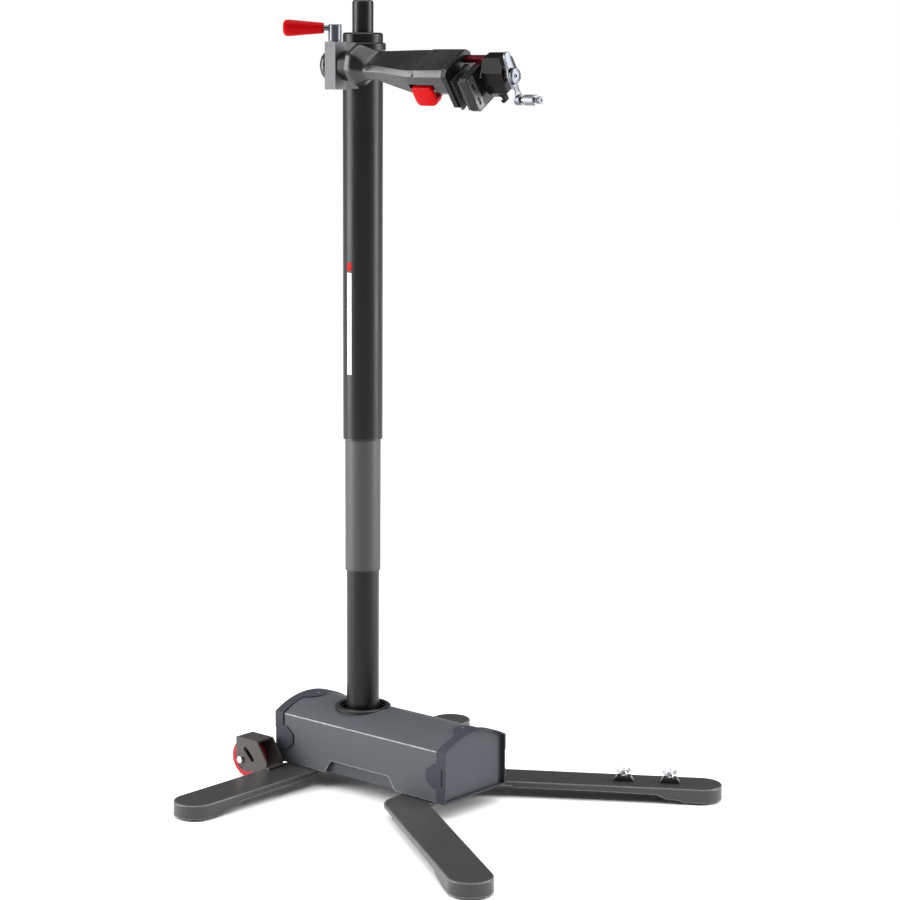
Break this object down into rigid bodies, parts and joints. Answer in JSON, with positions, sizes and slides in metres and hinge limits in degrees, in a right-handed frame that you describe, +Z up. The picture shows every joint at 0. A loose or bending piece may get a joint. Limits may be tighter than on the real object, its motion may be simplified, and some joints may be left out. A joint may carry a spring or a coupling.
{
  "type": "bike repair stand",
  "caption": "Bike repair stand: telescoping mast on a box base with splayed legs and transport wheels, and a rotating clamp head with a crank-driven sliding jaw.",
  "frame": {"origin": "on the floor at the middle of the footprint", "axes": "+Z up the mast; +X along the box base and the clamp arm; -Y the side where the spindle passes the mast"},
  "size_m": [0.8364, 0.818, 1.519],
  "materials": {
    "tube_black": "satin black powder coat",
    "tube_grey": "satin dark grey anodised look",
    "housing_grey": "satin graphite powder coat",
    "channel_dark": "matt black",
    "cap_plastic": "fine textured",
    "plate_plastic": "fine textured",
    "leg_coat": "fine textured powder coat",
    "rubber_black": "matt",
    "zinc": "bright zinc",
    "bracket_grey": "satin warm grey",
    "wheel_red": "smooth polyurethane",
    "hub_plastic": "moulded",
    "block_alu": "machined",
    "chrome": "polished",
    "red_plastic": "glossy",
    "arm_black": "satin black",
    "red_anodised": "anodised",
    "inset_grey": "satin",
    "brass": "turned",
    "bush_nylon": "smooth",
    "steel_dark": "blackened"
  },
  "bodies": {
    "base": {"base_housing": "housing_grey", "base_channel": "channel_dark", "left_end_cap": "cap_plastic", "right_end_cap": "cap_plastic", "end_plates": "plate_plastic", "cap_screws": "steel_dark", "mast_foot_flange": "channel_dark", "mast_bezel": "bush_nylon", "base_bolts": "zinc", "front_left_leg": "leg_coat", "back_left_leg": "leg_coat", "left_foot_pads": "rubber_black", "pivot_bolts": "zinc", "leg_washers": "bush_nylon", "wheel_brackets": "bracket_grey", "wheel_axles": "zinc", "lower_tube": "tube_black", "gas_spring_cylinder": "steel_dark"},
    "mast_middle": {"mid_tube": "tube_grey", "mid_guide_bush": "bush_nylon"},
    "mast_top": {"outer_tube": "tube_black", "outer_guide_bush": "bush_nylon", "mast_collar": "tube_black", "mast_cap": "tube_black", "top_post": "tube_black", "top_post_cap": "bush_nylon", "gas_spring_rod": "chrome", "bracket_block": "block_alu", "clamp_cotters": "brass"},
    "clamp_lever": {"lever_hub": "chrome", "lever_grip": "red_plastic"},
    "head": {"spindle_hub": "arm_black", "spindle_end_cap": "arm_black", "arm_upper_shell": "arm_black", "arm_lower_shell": "arm_black", "fixed_jaw": "arm_black", "fixed_jaw_pad": "rubber_black", "trigger_pin": "zinc"},
    "release_trigger": {"trigger": "red_plastic"},
    "carriage": {"slide_bar": "red_anodised", "jaw_carriage": "arm_black", "clamp_nut": "brass"},
    "holder": {"pad_holder": "arm_black", "moving_jaw_pad": "rubber_black", "holder_inset": "inset_grey"},
    "crank": {"lead_screw": "zinc", "crank_arm": "chrome"},
    "knob": {"crank_knob": "zinc"},
    "front_wheel": {"front_wheel_tyre": "wheel_red", "front_wheel_hub": "hub_plastic"},
    "back_wheel": {"back_wheel_tyre": "wheel_red", "back_wheel_hub": "hub_plastic"},
    "front_swing_leg": {"front_right_leg": "leg_coat", "front_right_foot_pad": "rubber_black"},
    "back_swing_leg": {"back_right_leg": "leg_coat", "back_right_foot_pad": "rubber_black", "accessory_blocks": "bush_nylon", "accessory_studs": "zinc"},
    "inner_nut": {"inner_wing_nut": "zinc"},
    "outer_nut": {"outer_wing_nut": "zinc"}
  },
  "joints": [
    {"name": "mast_mid_slide", "type": "slide", "parent": "base", "child": "mast_middle", "axis": [0, 0, 1], "range_m": [-0.25, 0]},
    {"name": "mast_outer_slide", "type": "slide", "parent": "mast_middle", "child": "mast_top", "axis": [0, 0, 1], "range_m": [-0.25, 0]},
    {"name": "lever_turn", "type": "hinge", "parent": "mast_top", "child": "clamp_lever", "pos_m": [-0.18075, -0.086, 1.44], "axis": [0, 0, 1], "range_deg": [-60, 90]},
    {"name": "head_spin", "type": "hinge", "parent": "mast_top", "child": "head", "pos_m": [-0.18975, -0.069, 1.396], "axis": [1, 0, 0], "continuous": true},
    {"name": "trigger_pull", "type": "hinge", "parent": "head", "child": "release_trigger", "pos_m": [0.07225, -0.07604, 1.36351], "axis": [0, 0.829, 0.5592], "range_deg": [0, 5], "stiffness_Nm_per_rad": 1.5, "springref_deg": -11.46},
    {"name": "jaw_slide", "type": "slide", "parent": "head", "child": "carriage", "axis": [1, 0, 0], "range_m": [-0.002, 0.06]},
    {"name": "pad_slide", "type": "slide", "parent": "carriage", "child": "holder", "axis": [1, 0, 0], "range_m": [-0.0081, 0.0081]},
    {"name": "crank_turn", "type": "hinge", "parent": "holder", "child": "crank", "pos_m": [0.22325, -0.0592, 1.37969], "axis": [1, 0, 0], "range_deg": [-960, 960]},
    {"name": "knob_spin", "type": "hinge", "parent": "crank", "child": "knob", "pos_m": [0.25525, -0.05481, 1.33792], "axis": [1, 0, 0], "continuous": true},
    {"name": "front_wheel_spin", "type": "hinge", "parent": "base", "child": "front_wheel", "pos_m": [-0.38075, -0.124, 0.0383], "axis": [0, 1, 0], "continuous": true},
    {"name": "back_wheel_spin", "type": "hinge", "parent": "base", "child": "back_wheel", "pos_m": [-0.38075, 0.124, 0.0383], "axis": [0, 1, 0], "continuous": true},
    {"name": "front_leg_swing", "type": "hinge", "parent": "base", "child": "front_swing_leg", "pos_m": [0.02325, -0.045, 0.0267], "axis": [0, 0, 1], "range_deg": [0, 31]},
    {"name": "back_leg_swing", "type": "hinge", "parent": "base", "child": "back_swing_leg", "pos_m": [0.02325, 0.045, 0.0267], "axis": [0, 0, 1], "range_deg": [-31, 0]},
    {"name": "inner_nut_turn", "type": "hinge", "parent": "back_swing_leg", "child": "inner_nut", "pos_m": [0.25289, 0.26372, 0.045], "axis": [0, 0, 1], "range_deg": [0, 1080]},
    {"name": "outer_nut_turn", "type": "hinge", "parent": "back_swing_leg", "child": "outer_nut", "pos_m": [0.32766, 0.31199, 0.045], "axis": [0, 0, 1], "range_deg": [0, 1080]}
  ],
  "couplings": [
    {"joint": "pad_slide", "follows": "crank_turn", "m_per_rad": 0.00047746}
  ]
}
